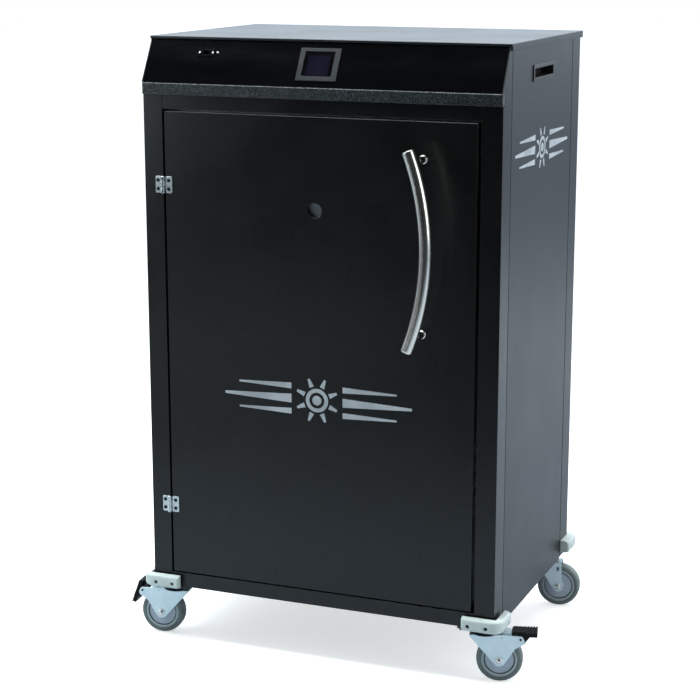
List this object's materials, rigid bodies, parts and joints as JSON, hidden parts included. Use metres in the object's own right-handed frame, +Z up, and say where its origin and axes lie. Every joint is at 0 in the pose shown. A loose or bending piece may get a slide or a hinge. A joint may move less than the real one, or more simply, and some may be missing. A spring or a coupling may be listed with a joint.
{
  "type": "uv sterilizer cabinet",
  "caption": "Upright sheet-metal cabinet on swivel casters with a hinged door, sloped display console and germicidal lamps over slotted shelves.",
  "frame": {"origin": "on the floor, under the middle of the whole outline, handle and guards included", "axes": "+Z up; -Y is the door side; +X is to the right of someone facing the door"},
  "size_m": [0.9044, 0.641, 1.278],
  "materials": {
    "powder_coat": "hammered semi-gloss powder coat",
    "gloss_black": "polished",
    "bezel": "satin",
    "screen": "polished, unlit",
    "brushed_steel": "brushed",
    "chamber_steel": "satin stainless",
    "zinc": "bright zinc plate",
    "hinge_nickel": "bright nickel plate",
    "guard": "satin, pale grey-green",
    "tyre": "matt grey rubber",
    "hub": "satin grey",
    "black_plastic": "fine texture",
    "seal": "matt",
    "window": "polished, smoked",
    "lamp": "clear quartz",
    "enamel": "white enamel"
  },
  "bodies": {
    "cabinet": {"front_left_post": "powder_coat", "front_right_post": "powder_coat", "bottom_front_rail": "powder_coat", "top_front_rail": "powder_coat", "left_side_panel": "powder_coat", "right_side_panel": "powder_coat", "back_panel": "powder_coat", "base_pan": "powder_coat", "lid": "powder_coat", "header_strip": "powder_coat", "control_panel": "gloss_black", "display_bezel": "bezel", "service_port": "bezel", "display_screen": "screen", "chamber_liner": "chamber_steel", "lower_shelf": "chamber_steel", "middle_shelf": "chamber_steel", "upper_shelf": "chamber_steel", "upper_hinge_frame_leaf": "hinge_nickel", "lower_hinge_frame_leaf": "hinge_nickel", "front_left_guard": "guard", "front_right_guard": "guard", "rear_left_guard": "guard", "rear_right_guard": "guard", "left_grip": "black_plastic", "right_grip": "black_plastic", "magnetic_catch": "black_plastic", "power_inlet": "black_plastic", "left_uv_lamp": "lamp", "right_uv_lamp": "lamp", "lamp_batten": "enamel", "electronics_box": "enamel", "front_right_caster_plate": "zinc", "front_left_caster_plate": "zinc", "rear_right_caster_plate": "zinc", "rear_left_caster_plate": "zinc"},
    "door": {"door_shell": "powder_coat", "door_inner_panel": "chamber_steel", "door_seal": "seal", "window_glass": "window", "handle_bar": "brushed_steel", "upper_standoff": "brushed_steel", "lower_standoff": "brushed_steel", "upper_hinge_door_leaf": "hinge_nickel", "lower_hinge_door_leaf": "hinge_nickel"},
    "rocker": {"power_rocker": "black_plastic"},
    "front_right_swivel": {"front_right_fork": "zinc"},
    "front_right_wheel": {"front_right_hub": "hub", "front_right_tyre": "tyre"},
    "front_left_swivel": {"front_left_fork": "zinc"},
    "front_left_wheel": {"front_left_hub": "hub", "front_left_tyre": "tyre"},
    "rear_right_swivel": {"rear_right_fork": "zinc"},
    "rear_right_wheel": {"rear_right_hub": "hub", "rear_right_tyre": "tyre"},
    "rear_left_swivel": {"rear_left_fork": "zinc"},
    "rear_left_wheel": {"rear_left_hub": "hub", "rear_left_tyre": "tyre"},
    "right_pedal": {"right_brake_pedal": "black_plastic"},
    "left_pedal": {"left_brake_pedal": "black_plastic"}
  },
  "joints": [
    {"name": "door_hinge", "type": "hinge", "parent": "cabinet", "child": "door", "pos_m": [-0.34215, -0.2485, 0.643], "axis": [0, 0, -1], "range_deg": [0, 115]},
    {"name": "rocker_switch", "type": "hinge", "parent": "cabinet", "child": "rocker", "pos_m": [0.22585, 0.2965, 0.22], "axis": [1, 0, 0], "range_deg": [0, 14]},
    {"name": "front_right_swivel_pivot", "type": "hinge", "parent": "cabinet", "child": "front_right_swivel", "pos_m": [0.34585, -0.202, 0.103], "axis": [0, 0, 1], "continuous": true},
    {"name": "front_right_wheel_spin", "type": "hinge", "parent": "front_right_swivel", "child": "front_right_wheel", "pos_m": [0.37388, -0.19454, 0.0475], "axis": [-0.2571, 0.9664, 0], "continuous": true},
    {"name": "front_left_swivel_pivot", "type": "hinge", "parent": "cabinet", "child": "front_left_swivel", "pos_m": [-0.35415, -0.202, 0.103], "axis": [0, 0, 1], "continuous": true},
    {"name": "front_left_wheel_spin", "type": "hinge", "parent": "front_left_swivel", "child": "front_left_wheel", "pos_m": [-0.38293, -0.20558, 0.0475], "axis": [0.1236, -0.9923, 0], "continuous": true},
    {"name": "rear_right_swivel_pivot", "type": "hinge", "parent": "cabinet", "child": "rear_right_swivel", "pos_m": [0.33985, 0.266, 0.103], "axis": [0, 0, 1], "continuous": true},
    {"name": "rear_right_wheel_spin", "type": "hinge", "parent": "rear_right_swivel", "child": "rear_right_wheel", "pos_m": [0.3685, 0.27049, 0.0475], "axis": [-0.1547, 0.988, 0], "continuous": true},
    {"name": "rear_left_swivel_pivot", "type": "hinge", "parent": "cabinet", "child": "rear_left_swivel", "pos_m": [-0.34815, 0.266, 0.103], "axis": [0, 0, 1], "continuous": true},
    {"name": "rear_left_wheel_spin", "type": "hinge", "parent": "rear_left_swivel", "child": "rear_left_wheel", "pos_m": [-0.3768, 0.27049, 0.0475], "axis": [-0.1547, -0.988, 0], "continuous": true},
    {"name": "right_brake", "type": "hinge", "parent": "front_right_swivel", "child": "right_pedal", "pos_m": [0.41466, -0.18369, 0.0945], "axis": [-0.2571, 0.9664, 0], "range_deg": [0, 71]},
    {"name": "left_brake", "type": "hinge", "parent": "front_left_swivel", "child": "left_pedal", "pos_m": [-0.4248, -0.2108, 0.0945], "axis": [0.1236, -0.9923, 0], "range_deg": [-71, 0]}
  ]
}
